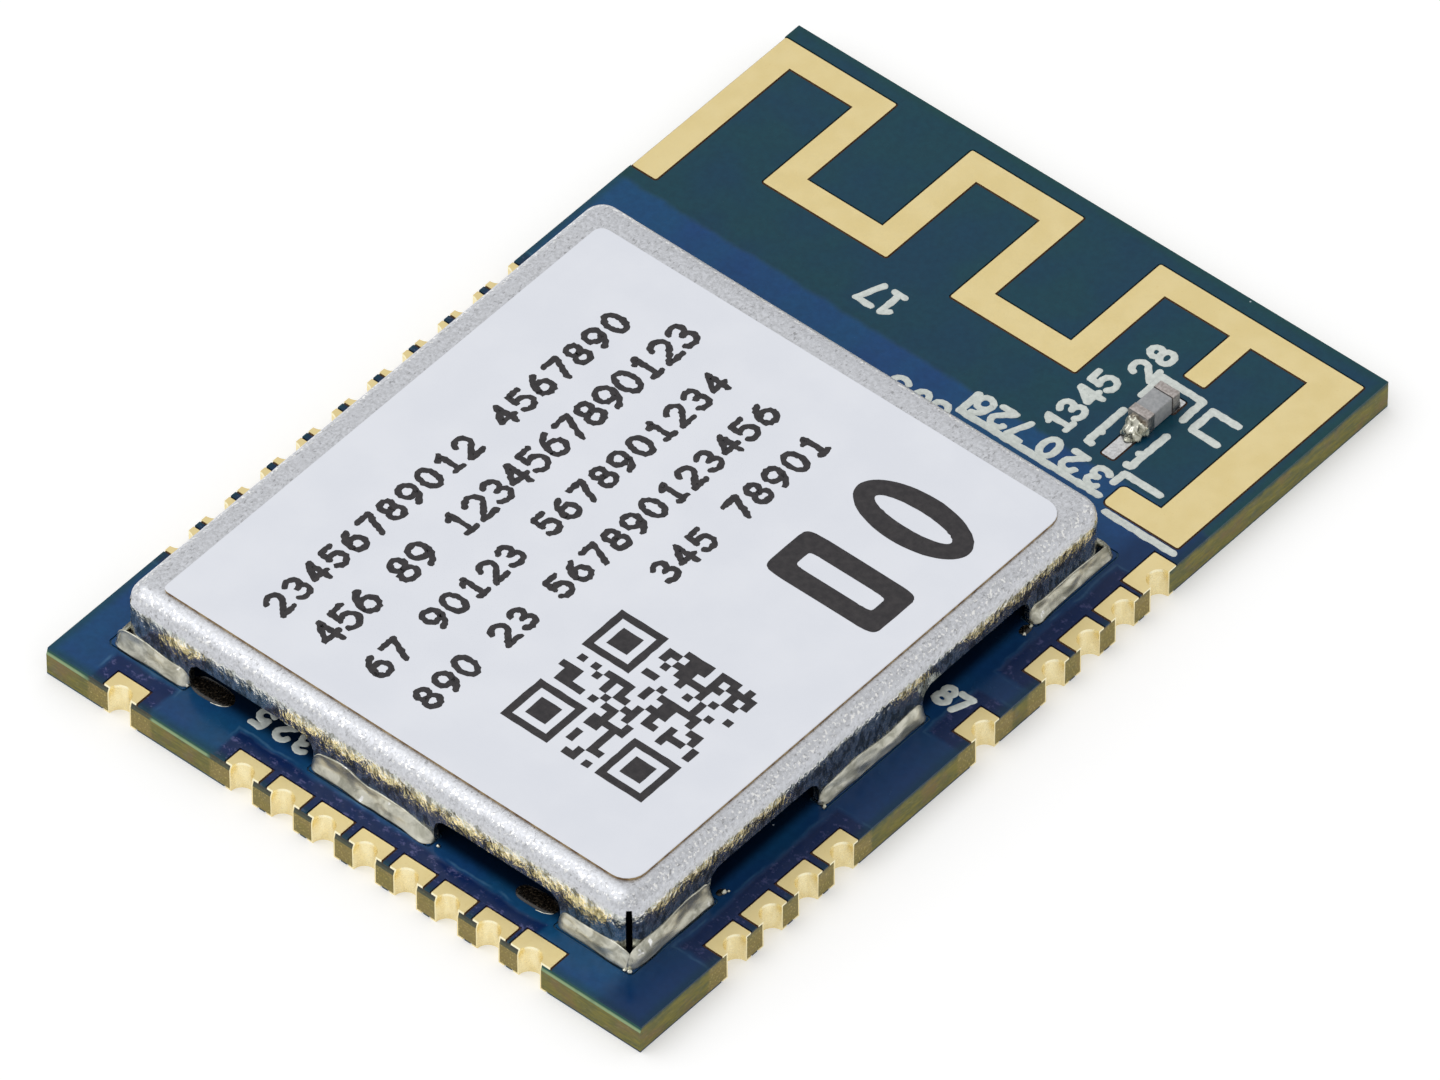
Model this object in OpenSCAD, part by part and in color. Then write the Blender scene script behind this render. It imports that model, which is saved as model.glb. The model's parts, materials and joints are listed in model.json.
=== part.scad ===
// Castellated radio module: a carrier board with half-hole terminals on three edges,
// a printed meander aerial along its back edge, and a folded shield can over the circuit.
// Origin: centre of the board's footprint, on the solder plane. +Z up, +Y to the aerial end.

/* [Board] */

// Board width, across the aerial end
board_w = 14.7; // [14.5:0.1:16]
// Board length, from the front terminals to the aerial end
board_l = 21.7; // [21.6:0.1:24]
// Bare laminate thickness
core_t = 0.6; // [0.4:0.1:1.6]
// Plated copper thickness on both faces
copper_t = 0.04; // [0.03:0.005:0.06]
// How far the solder mask lies below the plated copper
mask_step = 0.005; // [0.005:0.005:0.015]
// Bare gap between the mask and the copper in its openings
mask_gap = 0.04; // [0.03:0.01:0.06]
// Depth of the scored bevel along the front edge
bevel_d = 0.05; // [0.03:0.01:0.06]
// Height of the scored bevel along the front edge
bevel_h = 0.15; // [0.1:0.01:0.2]

/* [Terminals] */

// Distance between neighbouring terminal slots
pitch = 1.016; // [0.96:0.008:1.024]
// Last terminal of the right row to the front end of the aerial's strip
side_row_gap = 0.35; // [0.3:0.01:0.45]
// Left edge of the board to the first slot of the front row
front_row_start = 1.83; // [1.7:0.01:1.9]
// Width of a terminal's lands
land_w = 0.8; // [0.7:0.02:0.84]
// Length of a terminal's upper land, in from the edge
land_l = 0.44; // [0.4:0.02:0.5]
// Length of a terminal's lower land, in from the edge
under_land_l = 0.9; // [0.7:0.05:1.1]
// Extra land round the last terminal of the front and right rows
end_land_grow = 0.08; // [0:0.02:0.1]
// Radius of a terminal's plated half hole
hole_r = 0.26; // [0.2:0.02:0.3]
// Plating thickness in the half hole
plating_t = 0.03; // [0.02:0.01:0.05]
// Corner radius of the lands
land_r = 0.04; // [0.02:0.01:0.08]

/* [Aerial] */

// Width of the meander track
track_w = 0.6; // [0.5:0.02:0.62]
// Back edge of the board to the aerial
aerial_back_gap = 0.42; // [0.3:0.02:0.5]
// Left edge of the board to the aerial
aerial_left_gap = 0.03; // [0.03:0.01:0.06]
// Right edge of the board to the aerial
aerial_right_gap = 0.25; // [0.15:0.05:0.35]
// Clear width of the bays that open forwards
narrow_bay = 1.6; // [1.4:0.05:1.65]
// Clear width of the bays that open backwards
wide_bay = 1.9; // [1.7:0.05:1.95]
// Depth of the meander, over both runs
meander_l = 3.26; // [2.8:0.02:3.4]
// Length of the free tail at the left edge
tail_l = 4.54; // [4:0.02:4.6]
// Width of the grounded strip at the right edge
strip_w = 0.9; // [0.7:0.05:0.95]
// Shield can's back wall to the strip's front end
strip_gap = 1; // [0.8:0.05:1.2]
// Length of the strip's foot, over the strip
foot_l = 1.84; // [1.6:0.02:1.9]
// Corner radius of the foot's free end
foot_r = 0.12; // [0.06:0.02:0.2]
// Width of the feed stub
feed_w = 0.5; // [0.4:0.02:0.56]
// Length of the feed stub
feed_l = 1.98; // [1.8:0.02:2.1]
// Right edge of the board to the middle of the feed
feed_inset = 2.8; // [2.7:0.05:2.9]

/* [Feed chip] */

// Length of the chip, over its end caps
chip_l = 0.95; // [0.85:0.05:1.05]
// Width of the chip
chip_w = 0.48; // [0.4:0.02:0.5]
// Height of the chip
chip_h = 0.45; // [0.3:0.05:0.5]
// Length of each end cap
chip_cap_l = 0.2; // [0.14:0.02:0.24]
// Back edge of the board to the middle of the chip
chip_inset = 3.59; // [3.5:0.01:3.65]
// Width of the tinned land in front of the chip
tin_land_w = 0.3; // [0.24:0.02:0.36]
// Length of tinned land that shows in front of the chip
tin_land_l = 0.9; // [0.7:0.05:0.95]
// How far the solder reaches out in front of the chip
chip_solder_front = 0.36; // [0.2:0.01:0.45]
// How far the solder reaches out behind the chip
chip_solder_back = 0.16; // [0.1:0.01:0.18]
// How far the solder climbs the chip's ends
chip_solder_h = 0.3; // [0.15:0.01:0.3]

/* [Shield can] */

// Board kept free for the aerial, from the back edge to the can's back wall
aerial_zone_l = 6.95; // [6.8:0.05:7.1]
// Front edge of the board to the can's front wall
shield_front_gap = 1.05; // [0.95:0.01:1.3]
// Sides of the board to the can's side walls, when the can is centred
shield_side_gap = 1.05; // [1:0.01:1.3]
// Sideways offset of the can from the board's middle line, to the left
shield_shift = 0.1; // [0:0.02:0.12]
// Height of the can above the board
shield_h = 1.5; // [1.4:0.05:2]
// Sheet thickness
sheet_t = 0.15; // [0.1:0.01:0.2]
// Outer radius of the folds round the top
fold_r = 0.4; // [0.35:0.05:0.45]
// Radius of the can's upright corners, seen from above
corner_r = 0.25; // [0.22:0.01:0.35]
// Width of the open slit at each upright corner
slit_w = 0.08; // [0.05:0.01:0.12]
// Width of each notch in the walls' lower edge
notch_w = 3.1; // [2.6:0.1:3.3]
// Height of each notch
notch_h = 0.65; // [0.5:0.05:0.75]
// Radius of the notches' upper corners
notch_r = 0.3; // [0.2:0.05:0.35]
// Distance of each notch's middle from the middle of its wall
notch_offset = 3.04; // [2.8:0.02:3.1]

/* [Solder] */

// How far the solder reaches out from the can's walls
solder_out = 0.12; // [0.08:0.01:0.14]
// How far the solder climbs the can's walls
solder_h = 0.36; // [0.25:0.01:0.45]
// Hollow of the solder's sloping face, as a share of that face's width
solder_hollow = 0.12; // [0.05:0.01:0.16]
// Margin of the can's lands beyond the solder and the wall
shield_land_margin = 0.04; // [0.02:0.01:0.06]

/* [Label] */

// Flat of the lid left bare beside a centred label, up to the side folds
label_side_gap = 0.125; // [0.1:0.005:1]
// Flat of the lid left bare beyond a centred label, up to the end folds
label_end_gap = 0.2; // [0.1:0.01:1]
// Label thickness
label_t = 0.07; // [0.05:0.01:0.12]
// Corner radius of the label
label_r = 0.4; // [0.1:0.05:0.8]
// Label's offset from the can's middle, to the right
label_shift_x = 0.15; // [0:0.01:0.15]
// Label's offset from the can's middle, to the front
label_shift_y = 0.16; // [0:0.01:0.2]

/* [Circuit] */

// Side of the square radio chip
radio_w = 5; // [4:0.5:5]
// Height of the radio chip
radio_h = 0.85; // [0.6:0.05:0.9]
// Distance between the radio chip's leads
radio_pitch = 0.4; // [0.4:0.05:0.45]
// Width of the frequency crystal
crystal_w = 2; // [1.6:0.1:2]
// Length of the frequency crystal
crystal_l = 2.5; // [2:0.1:2.5]
// Height of the crystal's ceramic base
crystal_base_h = 0.4; // [0.3:0.05:0.5]
// Height of the crystal's metal lid
crystal_lid_h = 0.25; // [0.2:0.05:0.35]
// Width of the power coil
coil_w = 1.6; // [1.2:0.1:1.6]
// Length of the power coil
coil_l = 2; // [1.6:0.1:2]
// Height of the power coil
coil_h = 1; // [0.8:0.05:1]
// Length of the small chip parts
part_l = 1; // [0.8:0.05:1]
// Width of the small chip parts
part_w = 0.5; // [0.4:0.05:0.5]
// Height of a capacitor
capacitor_h = 0.5; // [0.4:0.05:0.55]
// Height of a resistor
resistor_h = 0.35; // [0.25:0.05:0.4]
// Length of the metal ends of the small parts
part_end_l = 0.22; // [0.15:0.01:0.3]
// Clear space between the small parts of a row
part_gap = 0.4; // [0.3:0.05:0.4]
// Least clear space between the circuit's larger parts and the can's side and end walls
part_wall_gap = 0.55; // [0.4:0.05:0.6]
// Side of the square ground paddle under the board
paddle_w = 4.4; // [3.6:0.1:5]

/* [Hidden] */

$fn = 48;
eps = 0.01;

board_left = -board_w / 2;
board_front = -board_l / 2;
board_back = board_l / 2;
core_z = copper_t;
core_top = core_z + core_t;
board_top = core_top + copper_t;
mask_t = copper_t - mask_step;

aerial_left = board_left + aerial_left_gap;
aerial_right = -board_left - aerial_right_gap;
aerial_back = board_back - aerial_back_gap;
feed_x = -board_left - feed_inset;
chip_y = board_back - chip_inset;

shield_w = board_w - 2 * shield_side_gap;
shield_l = board_l - shield_front_gap - aerial_zone_l;
shield_x = -shield_shift;
shield_y = board_front + shield_front_gap + shield_l / 2;
shield_top = board_top + shield_h;
strip_front = board_back - aerial_zone_l + strip_gap;
fold_inner_r = fold_r - sheet_t;
corner_inner_r = corner_r - sheet_t;
// the slit runs up into the fold, where the two bends part
slit_h = shield_h - fold_inner_r;

label_w = shield_w - 2 * (fold_r + label_side_gap);
label_l = shield_l - 2 * (fold_r + label_end_gap);

// slots in use, counted from the front or from the left
left_slots = [for (i = [1:10]) i];
right_slots = [0, 1, 2, 3, 7, 9, 10, 11, 12];
front_slots = [0, 3, 4, 5, 6, 7, 8, 9, 10];
right_last = right_slots[len(right_slots) - 1];
front_last = front_slots[len(front_slots) - 1];

// the side rows are counted forwards from the aerial's strip
side_row_back = strip_front - side_row_gap - land_w / 2 - end_land_grow;
function side_slot_y(i) = side_row_back - (right_last - i) * pitch;
function front_slot_x(i) = board_left + front_row_start + i * pitch;

// each terminal is [x, y, turn, extra land]; a turn of 0 faces the front edge
terminals = concat(
    [for (i = left_slots) [board_left, side_slot_y(i), -90, 0]],
    [for (i = front_slots) [front_slot_x(i), board_front, 0, i == front_last ? end_land_grow : 0]],
    [for (i = right_slots) [-board_left, side_slot_y(i), 90, i == right_last ? end_land_grow : 0]]
);

// thickness of the solder at its upper and outer edges
solder_edge_t = 0.02;

// a chip part's body stands back from its metal ends by this much
chip_skin = 0.01;
chip_end_r = 0.03;

// leads of the radio chip, along each side
radio_lead_count = 10;
radio_lead_w = radio_pitch / 2;
radio_lead_l = 0.3;
radio_lead_h = 0.2;

// inner faces of the can's walls
inner_left = shield_x - shield_w / 2 + sheet_t;
inner_right = shield_x + shield_w / 2 - sheet_t;
inner_front = shield_y - shield_l / 2 + sheet_t;
inner_back = shield_y + shield_l / 2 - sheet_t;

// the radio chip stands left of the can's middle, in a ring of capacitors
radio_shift_x = 1.1;
radio_shift_y = 0.2;
radio_x = shield_x - radio_shift_x;
radio_y = shield_y - radio_shift_y;
ring_gap = 0.6;
part_ring = radio_w / 2 + ring_gap + part_w / 2;
part_step = part_l + part_gap;

// the crystal and the power coil stand in a row along the right wall
side_parts_x = inner_right - part_wall_gap - crystal_w / 2;
crystal_y = shield_y;
crystal_r = 0.1;
crystal_rim = 0.1;
coil_front_gap = 1.3;
coil_parts_gap = 0.55;
coil_y = inner_front + coil_front_gap + coil_l / 2;
coil_parts_y = inner_front + coil_front_gap + part_l / 2;

// the resistors lie along the back wall
back_row_gap = 1.2;
back_row_x = inner_left + part_wall_gap + part_l / 2;
back_row_y = inner_back - back_row_gap - part_w / 2;
feed_row_y = inner_back - back_row_gap - part_l / 2;

function two_digits(i) = str(i < 10 ? "0" : "", i);
terminal_names = [for (i = [1:len(terminals)]) str("terminal_", two_digits(i))];
wall_names = ["front", "right", "back", "left"];
solder_names = [for (name = wall_names) str("shield_solder_", name)];

// ---- flat shapes ----

// Rectangle between two corners, with true arcs of radius r at all four
module round_rect(low, high, r)
{
    translate([low[0] + r, low[1]]) square([high[0] - low[0] - 2 * r, high[1] - low[1]]);
    translate([low[0], low[1] + r]) square([high[0] - low[0], high[1] - low[1] - 2 * r]);
    for (x = [low[0] + r, high[0] - r], y = [low[1] + r, high[1] - r])
        translate([x, y]) circle(r);
}

module centred_round_rect(w, l, r)
{
    round_rect([-w / 2, -l / 2], [w / 2, l / 2], r);
}

// Rectangle on the X axis with only its upper corners rounded
module arched_rect(w, h, r)
{
    translate([-w / 2, 0]) square([w, h - r]);
    translate([r - w / 2, 0]) square([w - 2 * r, h]);
    for (x = [r - w / 2, w / 2 - r]) translate([x, h - r]) circle(r);
}

// Upper or lower land of a terminal at the origin, cut off at the board's edge
module land_outline(l, grow)
{
    w = land_w + 2 * grow;
    intersection() {
        round_rect([-w / 2, -land_r], [w / 2, l + grow], land_r);
        translate([-w / 2, 0]) square([w, l + grow]);
    }
}

module place_terminal(t)
{
    translate([t[0], t[1]]) rotate(t[2]) children();
}

// Half holes of all terminals, cut out to the given radius
module half_holes(r)
{
    for (t = terminals) place_terminal(t) circle(r);
}

module board_outline()
{
    square([board_w, board_l], center = true);
}

// ---- board ----

module circuit_board()
{
    color("DarkKhaki") difference() {
        translate([0, 0, core_z]) linear_extrude(core_t) difference() {
            board_outline();
            half_holes(hole_r + plating_t);
        }
        translate([0, board_front, 0]) score_wedge(board_w + 2 * eps);
    }
}

// Wedge along X that the score takes off an upper corner at y = 0
module score_wedge(span)
{
    translate([-span / 2, 0, board_top]) rotate([0, 90, 0]) linear_extrude(span)
        polygon([[-eps, bevel_d], [0, bevel_d], [bevel_h, 0], [bevel_h, -eps], [-eps, -eps]]);
}

module top_mask()
{
    color("MidnightBlue") difference() {
        translate([0, 0, core_top]) linear_extrude(mask_t) difference() {
            board_outline();
            half_holes(hole_r + plating_t);
            for (t = terminals) place_terminal(t) mask_window(land_l, t[3]);
            aerial_outline(mask_gap);
            feed_land_outlines(mask_gap);
            shield_land_outlines(mask_gap);
        }
        translate([0, board_front, 0]) score_wedge(board_w + 2 * eps);
    }
}

module bottom_mask()
{
    color("MidnightBlue") translate([0, 0, mask_step]) linear_extrude(mask_t) difference() {
        board_outline();
        half_holes(hole_r + plating_t);
        for (t = terminals) place_terminal(t) mask_window(under_land_l, 0);
        paddle_place() centred_round_rect(paddle_w + 2 * mask_gap, paddle_w + 2 * mask_gap, land_r);
    }
}

// Opening in the mask round one land, open at the board's edge
module mask_window(l, grow)
{
    w = land_w + 2 * grow + 2 * mask_gap;
    translate([-w / 2, -mask_gap]) square([w, l + grow + 2 * mask_gap]);
}

// ---- terminals ----

module terminal(t)
{
    color("Khaki") place_terminal(t) difference() {
        union() {
            linear_extrude(copper_t) land_outline(under_land_l, 0);
            translate([0, 0, core_top]) linear_extrude(copper_t) land_outline(land_l, t[3]);
            linear_extrude(board_top) intersection() {
                circle(hole_r + plating_t);
                translate([-board_w, 0]) square([2 * board_w, board_w]);
            }
        }
        translate([0, 0, -eps]) cylinder(r = hole_r, h = board_top + 2 * eps);
        // the score runs across the front terminals too
        if (t[2] == 0) score_wedge(2 * land_w);
    }
}

module ground_paddle()
{
    color("Khaki") paddle_place() linear_extrude(copper_t)
        centred_round_rect(paddle_w, paddle_w, land_r);
}

module paddle_place()
{
    translate([shield_x, shield_y, 0]) children();
}

// ---- aerial ----

// Left side of leg i of the meander: bays alternate narrow and wide
function leg_x(i) = aerial_left + i * track_w + ceil(i / 2) * narrow_bay + floor(i / 2) * wide_bay;

// One straight piece of track between two corners, grown on all sides
module track(low, high, r, grow)
{
    round_rect(low - [grow, grow], high + [grow, grow], r + grow);
}

module aerial_outline(grow)
{
    last_leg = 4;
    run_front = aerial_back - meander_l;
    // tail, then the meander's legs
    track([leg_x(0), aerial_back - tail_l], [leg_x(0) + track_w, aerial_back], land_r, grow);
    for (i = [1:last_leg])
        track([leg_x(i), run_front], [leg_x(i) + track_w, aerial_back], land_r, grow);
    // back runs join legs 0 and 1, 2 and 3; front runs join 1 and 2, 3 and 4
    for (i = [0:2:last_leg - 2])
        track([leg_x(i), aerial_back - track_w], [leg_x(i + 1) + track_w, aerial_back], land_r, grow);
    for (i = [1:2:last_leg - 1])
        track([leg_x(i), run_front], [leg_x(i + 1) + track_w, run_front + track_w], land_r, grow);
    // last back run, grounded strip with its foot, and feed stub
    track([leg_x(last_leg), aerial_back - track_w], [aerial_right, aerial_back], land_r, grow);
    track([aerial_right - strip_w, strip_front], [aerial_right, aerial_back], land_r, grow);
    track([aerial_right - foot_l, strip_front], [aerial_right, strip_front + track_w], foot_r, grow);
    track([feed_x - feed_w / 2, aerial_back - feed_l], [feed_x + feed_w / 2, aerial_back], land_r, grow);
}

module aerial_track()
{
    color("Khaki") translate([0, 0, core_top]) linear_extrude(copper_t) aerial_outline(0);
}

// ---- feed chip between the circuit and the aerial ----

module feed_land_outlines(grow)
{
    // land under the chip's back end, then the tinned land in front of it
    chip_front = chip_y - chip_l / 2;
    chip_back = chip_y + chip_l / 2;
    track([feed_x - chip_w / 2, chip_back - chip_cap_l], [feed_x + chip_w / 2, chip_back + chip_cap_l],
          land_r, grow);
    track([feed_x - tin_land_w / 2, chip_front - tin_land_l],
          [feed_x + tin_land_w / 2, chip_front + chip_cap_l], land_r, grow);
}

module feed_lands()
{
    color("Silver") translate([0, 0, core_top]) linear_extrude(copper_t) feed_land_outlines(0);
}

module chip_place()
{
    translate([feed_x, chip_y, board_top]) rotate(90) children();
}

module feed_chip()
{
    color("Gray") chip_place() chip_body(chip_l, chip_w, chip_h, chip_cap_l);
}

module feed_chip_ends()
{
    color("Silver") chip_place() chip_caps(chip_l, chip_w, chip_h, chip_cap_l);
}

// Solder wedges that hold the chip's two ends
module feed_chip_solder()
{
    color("Silver") translate([feed_x, chip_y, board_top]) {
        translate([0, -chip_l / 2, 0])
            rotate(180) solder_wedge(chip_w, chip_solder_front, chip_solder_h);
        translate([0, chip_l / 2, 0])
            solder_wedge(chip_w, chip_solder_back, chip_solder_h);
    }
}

// Hollow-faced wedge of solder against a wall on the XZ plane, reaching out along +Y
module solder_wedge(w, out, h)
{
    // the face's two ends lie this far apart; an arc that dips below their chord joins them
    face = [out - solder_edge_t, h - solder_edge_t];
    chord = norm(face);
    dip = solder_hollow * chord;
    r = chord * chord / (8 * dip) + dip / 2;
    middle = [-out - solder_edge_t, h + solder_edge_t] / 2;
    rotate([90, 0, -90]) linear_extrude(w, center = true) difference() {
        polygon([[0, 0], [-out, 0], [-out, solder_edge_t], [-solder_edge_t, h], [0, h]]);
        translate(middle + (r - dip) * [-face[1], face[0]] / chord) circle(r);
    }
}

// ---- two-ended chip parts, lying along X on the plane z = 0 ----

module chip_body(l, w, h, cap_l)
{
    translate([-l / 2 + cap_l, -w / 2 + chip_skin, chip_skin])
        cube([l - 2 * cap_l, w - 2 * chip_skin, h - 2 * chip_skin]);
}

module chip_caps(l, w, h, cap_l)
{
    for (side = [0, 1]) mirror([side, 0, 0])
        translate([-l / 2, 0, 0])
            rotate([90, 0, 90]) linear_extrude(cap_l)
                round_rect([-w / 2, 0], [w / 2, h], chip_end_r);
}

// ---- shield can ----

module shield_place()
{
    translate([shield_x, shield_y, board_top]) children();
}

// Block with its four upper edges folded over and its upright corners rounded
module can_block(w, l, h, r, upright_r)
{
    intersection() {
        rotate([90, 0, 0]) linear_extrude(l, center = true) arched_rect(w, h, r);
        rotate([90, 0, 90]) linear_extrude(w, center = true) arched_rect(l, h, r);
        linear_extrude(h) centred_round_rect(w, l, upright_r);
    }
}

module shield_cover()
{
    color("LightGray") shield_place() difference() {
        can_block(shield_w, shield_l, shield_h, fold_r, corner_r);
        translate([0, 0, -eps])
            can_block(shield_w - 2 * sheet_t, shield_l - 2 * sheet_t, shield_h - sheet_t + eps,
                      fold_inner_r, corner_inner_r);
        wall_notches(shield_w);
        rotate(90) wall_notches(shield_l);
        corner_slits();
    }
}

// Two pairs of notches through the walls that face along X, for walls this far apart
module wall_notches(span)
{
    for (y = [-notch_offset, notch_offset])
        translate([0, y, -eps])
            rotate([90, 0, 90]) linear_extrude(span + 2 * eps, center = true)
                arched_rect(notch_w, notch_h + eps, notch_r);
}

module corner_slits()
{
    // long enough to run through the corner from inside the can to outside
    reach = 1.5 * fold_r;
    for (sx = [-1, 1], sy = [-1, 1])
        translate([sx * shield_w / 2, sy * shield_l / 2, -eps])
            rotate(sx * sy * 45)
                translate([-reach, -slit_w / 2, 0]) cube([2 * reach, slit_w, slit_h + eps]);
}

// Middle and width of the three tabs that the notches leave on a wall of this length
function tab_spans(l) =
    let (inner = notch_offset - notch_w / 2, outer = notch_offset + notch_w / 2)
    [[-l / 2, -outer], [-inner, inner], [outer, l / 2]];

// Each wall as [distance from the can's middle, length, turn]
walls = [
    [shield_l / 2, shield_w, 180],
    [shield_w / 2, shield_l, -90],
    [shield_l / 2, shield_w, 0],
    [shield_w / 2, shield_l, 90]
];

module shield_land_outlines(grow)
{
    land_out = solder_out + shield_land_margin;
    land_in = sheet_t + shield_land_margin;
    translate([shield_x, shield_y])
        for (wall = walls) rotate(wall[2]) translate([0, wall[0]])
            for (span = tab_spans(wall[1] + 2 * solder_out))
                track([span[0], -land_in], [span[1], land_out], land_r, grow);
}

module shield_lands()
{
    color("Silver") translate([0, 0, core_top]) linear_extrude(copper_t) shield_land_outlines(0);
}

// Solder along the tabs of one wall; the front and back walls' solder also fills the corners
module shield_solder(wall)
{
    at_ends = wall[2] == 0 || wall[2] == 180 ? solder_out : 0;
    color("LightSlateGray") shield_place() rotate(wall[2]) translate([0, wall[0], 0])
        for (span = tab_spans(wall[1] + 2 * at_ends))
            translate([(span[0] + span[1]) / 2, 0, 0])
                solder_wedge(span[1] - span[0], solder_out, solder_h);
}

module label()
{
    color("WhiteSmoke")
        translate([shield_x + label_shift_x, shield_y - label_shift_y, shield_top])
            linear_extrude(label_t) centred_round_rect(label_w, label_l, label_r);
}

// ---- circuit under the can ----

module radio_place()
{
    translate([radio_x, radio_y, board_top]) children();
}

module radio_chip()
{
    color("DimGray") radio_place() difference() {
        translate([-radio_w / 2, -radio_w / 2, 0]) cube([radio_w, radio_w, radio_h]);
        radio_leads(radio_w / 2 + eps);
    }
}

module radio_chip_leads()
{
    color("Silver") radio_place() radio_leads(radio_w / 2);
}

// Leads let into the lower edge on all four sides, out to the given distance
module radio_leads(out)
{
    for (turn = [0:90:270], i = [0:radio_lead_count - 1])
        rotate(turn)
            translate([(i - (radio_lead_count - 1) / 2) * radio_pitch - radio_lead_w / 2,
                       radio_w / 2 - radio_lead_l, 0])
                cube([radio_lead_w, radio_lead_l + out - radio_w / 2, radio_lead_h]);
}

module crystal_place()
{
    translate([side_parts_x, crystal_y, board_top]) children();
}

module crystal_base()
{
    color("Tan") crystal_place() linear_extrude(crystal_base_h)
        centred_round_rect(crystal_w, crystal_l, crystal_r);
}

module crystal_lid()
{
    color("Gold") crystal_place() translate([0, 0, crystal_base_h]) linear_extrude(crystal_lid_h)
        centred_round_rect(crystal_w - 2 * crystal_rim, crystal_l - 2 * crystal_rim, crystal_r);
}

module coil_place()
{
    translate([side_parts_x, coil_y, board_top]) rotate(90) children();
}

module power_coil()
{
    color("DarkSlateGray") coil_place() chip_body(coil_l, coil_w, coil_h, part_end_l);
}

module power_coil_ends()
{
    color("Silver") coil_place() chip_caps(coil_l, coil_w, coil_h, part_end_l);
}

// Capacitors ring the radio chip, three to a side, and two stand by the power coil
module place_capacitors()
{
    translate([radio_x, radio_y, board_top])
        for (turn = [0:90:270], i = [-1:1])
            rotate(turn) translate([i * part_step, part_ring, 0]) children();
    for (i = [0, 1])
        translate([side_parts_x - coil_w / 2 - part_w / 2 - coil_parts_gap - i * (part_w + part_gap),
                   coil_parts_y, board_top])
            rotate(90) children();
}

// Resistors stand in a row behind the radio chip, and two lead to the aerial's feed
module place_resistors()
{
    for (i = [0:3])
        translate([back_row_x + i * part_step, back_row_y, board_top]) children();
    for (i = [0, 1])
        translate([feed_x, feed_row_y - i * part_step, board_top]) rotate(90) children();
}

module capacitors()
{
    color("BurlyWood") place_capacitors() chip_body(part_l, part_w, capacitor_h, part_end_l);
}

module capacitor_ends()
{
    color("Silver") place_capacitors() chip_caps(part_l, part_w, capacitor_h, part_end_l);
}

module resistors()
{
    color("Black") place_resistors() chip_body(part_l, part_w, resistor_h, part_end_l);
}

module resistor_ends()
{
    color("Silver") place_resistors() chip_caps(part_l, part_w, resistor_h, part_end_l);
}

// ---- nodes ----

circuit_board();
top_mask();
bottom_mask();
aerial_track();
feed_lands();
ground_paddle();
shield_lands();
shield_cover();
label();
feed_chip();
feed_chip_ends();
feed_chip_solder();
radio_chip();
radio_chip_leads();
crystal_base();
crystal_lid();
power_coil();
power_coil_ends();
capacitors();
capacitor_ends();
resistors();
resistor_ends();
for (i = [0:len(walls) - 1])
    shield_solder(walls[i]);
for (i = [0:len(terminals) - 1])
    terminal(terminals[i]);
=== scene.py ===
"""Looks of the castellated wireless module: materials, label print, silkscreen, solder, light and camera."""

import json
import math
import random

import bmesh
import bpy
from mathutils import Matrix, Vector, noise


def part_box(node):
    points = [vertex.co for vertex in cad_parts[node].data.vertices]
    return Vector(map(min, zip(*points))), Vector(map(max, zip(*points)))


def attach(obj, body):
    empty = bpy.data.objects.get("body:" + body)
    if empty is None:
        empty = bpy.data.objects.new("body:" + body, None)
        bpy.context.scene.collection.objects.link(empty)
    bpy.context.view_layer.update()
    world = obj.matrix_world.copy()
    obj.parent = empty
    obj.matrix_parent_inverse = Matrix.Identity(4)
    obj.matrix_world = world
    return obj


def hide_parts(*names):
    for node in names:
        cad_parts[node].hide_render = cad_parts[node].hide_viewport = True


MM = 0.001

# noise_vector follows the seed, which is the clock's unless it is set
noise.seed_set(1)

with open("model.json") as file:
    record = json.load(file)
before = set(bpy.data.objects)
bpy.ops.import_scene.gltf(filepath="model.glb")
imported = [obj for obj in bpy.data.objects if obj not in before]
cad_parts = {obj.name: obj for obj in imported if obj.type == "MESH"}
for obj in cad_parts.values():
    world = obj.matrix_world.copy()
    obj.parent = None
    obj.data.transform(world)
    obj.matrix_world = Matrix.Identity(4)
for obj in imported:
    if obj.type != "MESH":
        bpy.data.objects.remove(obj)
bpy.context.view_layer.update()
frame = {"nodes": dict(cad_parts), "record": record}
nodes = frame["nodes"]

board_low, board_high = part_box("circuit_board")
can_low, can_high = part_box("shield_cover")
label_low, label_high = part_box("label")
chip_low, chip_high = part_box("feed_chip_ends")
mask_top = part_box("top_mask")[1].z


# ---- camera, from the photograph's viewing angle ----

VIEW_AZIMUTH = 40.81
VIEW_ELEVATION = 46.56
VIEW_ROLL = -0.19
VIEW_DISTANCE = 364.27 * MM
VIEW_LENS = 482.7
AIM = Vector((-0.015, -0.030, -0.013)) * MM


def make_camera():
    azimuth, elevation = math.radians(VIEW_AZIMUTH), math.radians(VIEW_ELEVATION)
    back = Vector((
        math.sin(azimuth) * math.cos(elevation),
        -math.cos(azimuth) * math.cos(elevation),
        math.sin(elevation),
    ))
    camera = bpy.data.objects.new("camera", bpy.data.cameras.new("camera"))
    bpy.context.scene.collection.objects.link(camera)
    camera.data.lens = VIEW_LENS
    camera.data.sensor_width = 36
    camera.data.clip_start = 0.01
    camera.data.clip_end = 20
    camera.location = AIM + back * VIEW_DISTANCE
    turn = (-back).to_track_quat("-Z", "Y").to_matrix().to_4x4()
    roll = Matrix.Rotation(math.radians(VIEW_ROLL), 4, "Z")
    camera.matrix_world = Matrix.Translation(camera.location) @ turn @ roll
    bpy.context.scene.camera = camera


# ---- materials ----


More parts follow.
